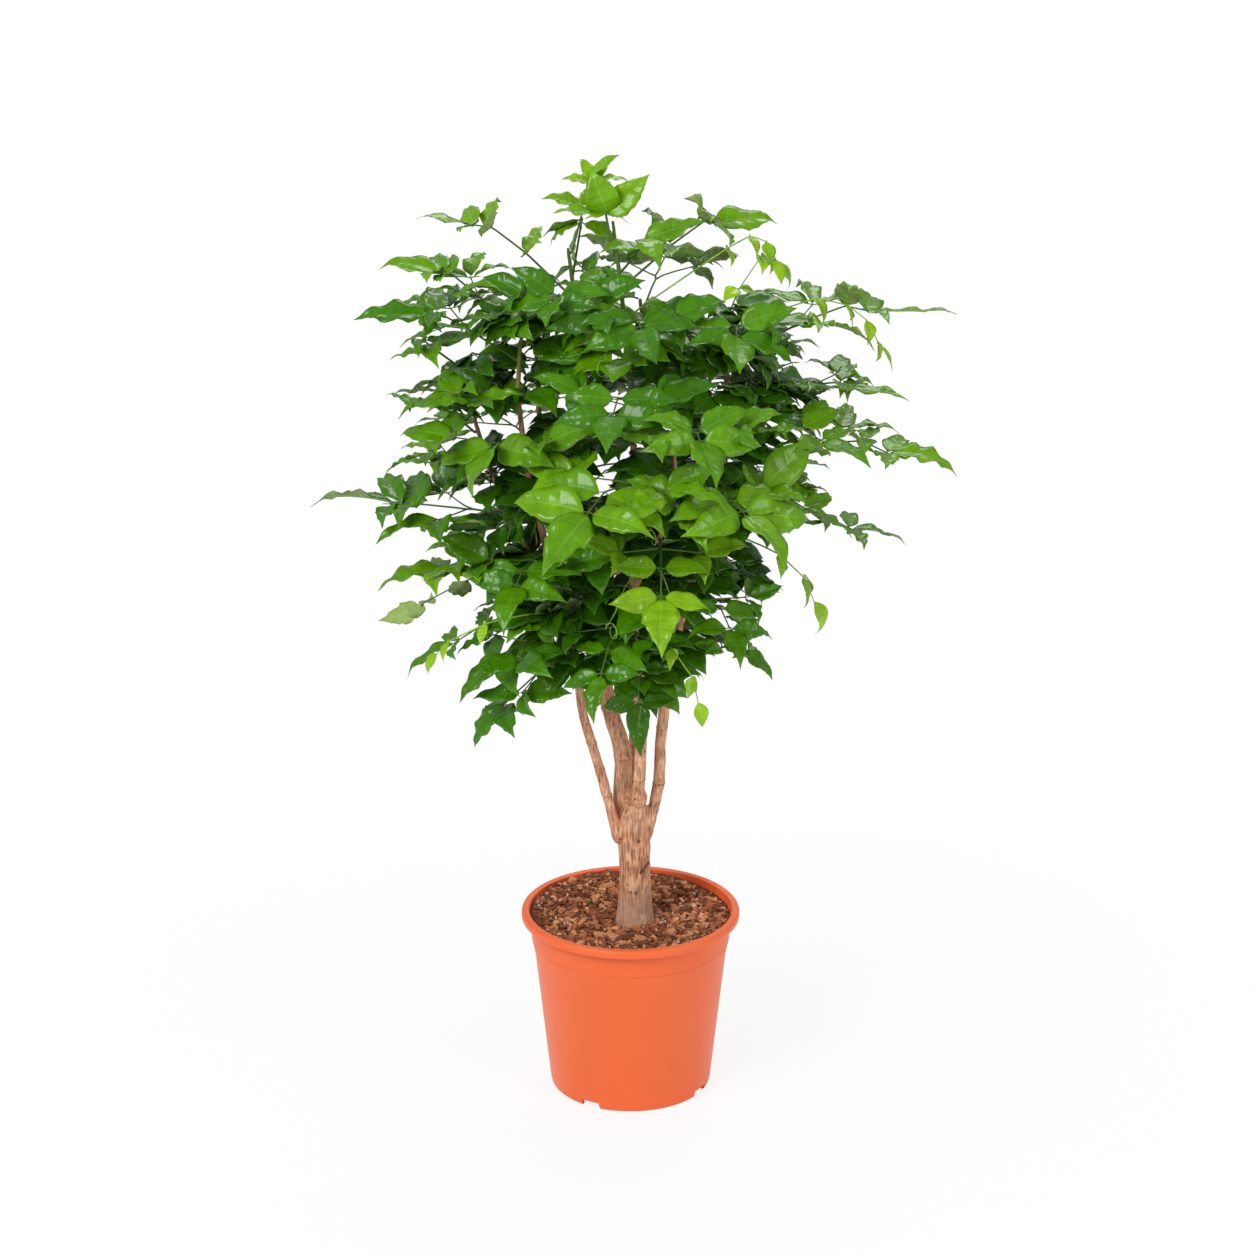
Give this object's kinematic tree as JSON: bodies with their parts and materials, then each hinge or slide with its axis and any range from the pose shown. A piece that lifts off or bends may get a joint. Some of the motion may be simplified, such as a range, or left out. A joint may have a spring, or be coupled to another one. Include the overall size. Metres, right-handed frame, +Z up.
{
  "type": "potted china doll plant",
  "caption": "Branched china doll plant with glossy compound leaves on woody stems, rooted in a round plastic nursery pot with a rolled rim and a notched foot.",
  "frame": {"origin": "centre of the pot's foot, on the surface that it stands on", "axes": "+Z up along the pot's axis; the plant's fullest side faces -Y"},
  "size_m": [0.6622, 0.5963, 1.035],
  "materials": {
    "pot": "moulded polypropylene, satin orange",
    "root_ball": "potting mix of bark chips and coco fibre",
    "bark": "fissured grey-brown bark",
    "leaf": "glossy green leaf",
    "young_leaf": "thin yellow-green young leaf"
  },
  "bodies": {
    "root": {"pot": "pot", "root_ball": "root_ball", "trunk": "bark", "stem_left": "bark", "stem_main": "bark", "stem_centre": "bark", "stem_right": "bark", "stem_back": "bark", "young_shoot_1": "young_leaf", "young_shoot_2": "young_leaf", "young_shoot_3": "young_leaf", "young_shoot_4": "young_leaf", "young_shoot_5": "young_leaf", "young_shoot_6": "young_leaf", "leaf_01": "leaf", "leaf_02": "leaf", "leaf_03": "leaf", "leaf_04": "leaf", "leaf_05": "leaf", "leaf_06": "leaf", "leaf_07": "leaf", "leaf_08": "leaf", "leaf_09": "leaf", "leaf_10": "leaf", "leaf_11": "leaf", "leaf_12": "leaf", "leaf_13": "leaf", "leaf_14": "leaf", "leaf_15": "leaf", "leaf_16": "leaf", "leaf_17": "leaf", "leaf_18": "leaf", "leaf_19": "leaf", "leaf_20": "leaf", "leaf_21": "leaf", "leaf_22": "leaf", "leaf_23": "leaf", "leaf_24": "leaf", "leaf_25": "leaf", "leaf_26": "leaf", "leaf_27": "leaf", "leaf_28": "leaf", "leaf_29": "leaf", "leaf_30": "leaf", "leaf_31": "leaf", "leaf_32": "leaf", "leaf_33": "leaf", "leaf_34": "leaf", "leaf_35": "leaf", "leaf_36": "leaf", "leaf_37": "leaf", "leaf_38": "leaf", "leaf_39": "leaf", "leaf_40": "leaf", "leaf_41": "leaf", "leaf_42": "leaf", "leaf_43": "leaf", "leaf_44": "leaf", "leaf_45": "leaf", "leaf_46": "leaf"}
  },
  "joints": []
}
